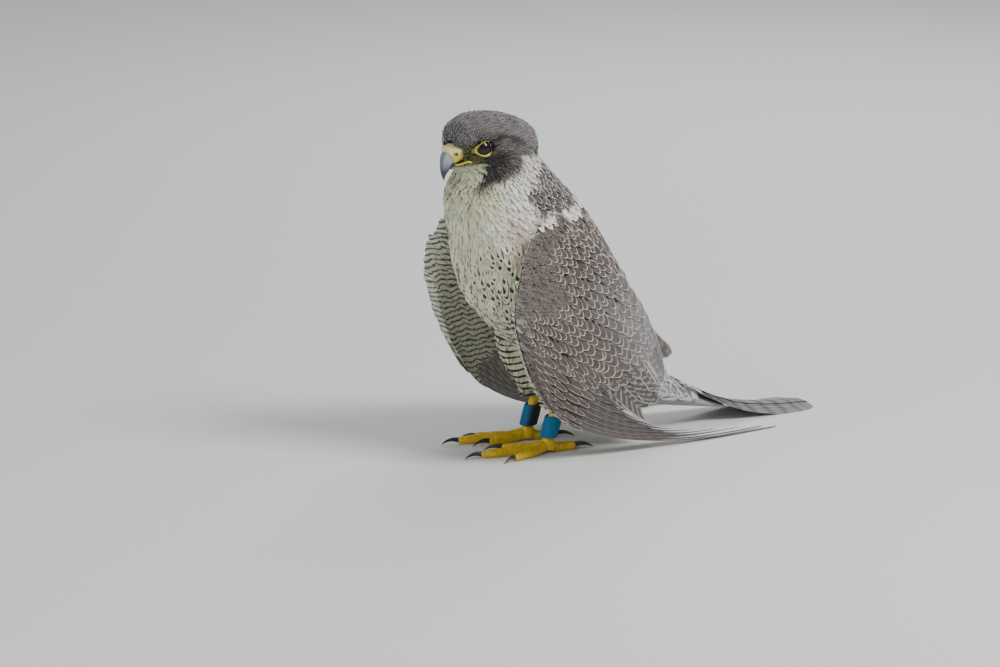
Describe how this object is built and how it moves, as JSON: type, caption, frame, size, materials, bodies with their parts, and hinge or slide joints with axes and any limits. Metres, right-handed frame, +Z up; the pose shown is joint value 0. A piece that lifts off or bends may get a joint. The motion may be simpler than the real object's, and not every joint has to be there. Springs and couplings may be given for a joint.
{
  "type": "peregrine falcon figure",
  "caption": "Life-size standing peregrine falcon with drooped wings and hooked bill, a museum-style still figure that stands on its feet, wing tips and tail",
  "frame": {"origin": "the middle of the whole bird's box at floor level, under the back toes", "axes": "+X towards the bird's left side, +Y from the breast towards the tail tip, +Z up from the floor"},
  "size_m": [0.1468, 0.3762, 0.2901],
  "materials": {
    "plumage": "matt feathers, slate brown above, cream with dark bars below",
    "bare_skin": "waxy yellow, scaled on the toes",
    "horn": "blue grey to black horn, satin",
    "eye": "dark brown, wet gloss",
    "anklet": "blue, soft sheen"
  },
  "bodies": {
    "root": {"head": "plumage", "neck": "plumage", "trunk": "plumage", "rump": "plumage", "tail": "plumage", "thigh_left": "plumage", "thigh_right": "plumage", "wing_left_arm": "plumage", "wing_left_secondaries": "plumage", "wing_left_primaries": "plumage", "wing_right_arm": "plumage", "wing_right_secondaries": "plumage", "wing_right_primaries": "plumage", "cere": "bare_skin", "tarsus_left": "bare_skin", "tarsus_right": "bare_skin", "foot_left": "bare_skin", "foot_right": "bare_skin", "bill_upper": "horn", "bill_lower": "horn", "claw_back_left": "horn", "claw_inner_left": "horn", "claw_middle_left": "horn", "claw_outer_left": "horn", "claw_back_right": "horn", "claw_inner_right": "horn", "claw_middle_right": "horn", "claw_outer_right": "horn", "eye_left": "eye", "eye_right": "eye", "anklet_left": "anklet", "anklet_right": "anklet"}
  },
  "joints": []
}
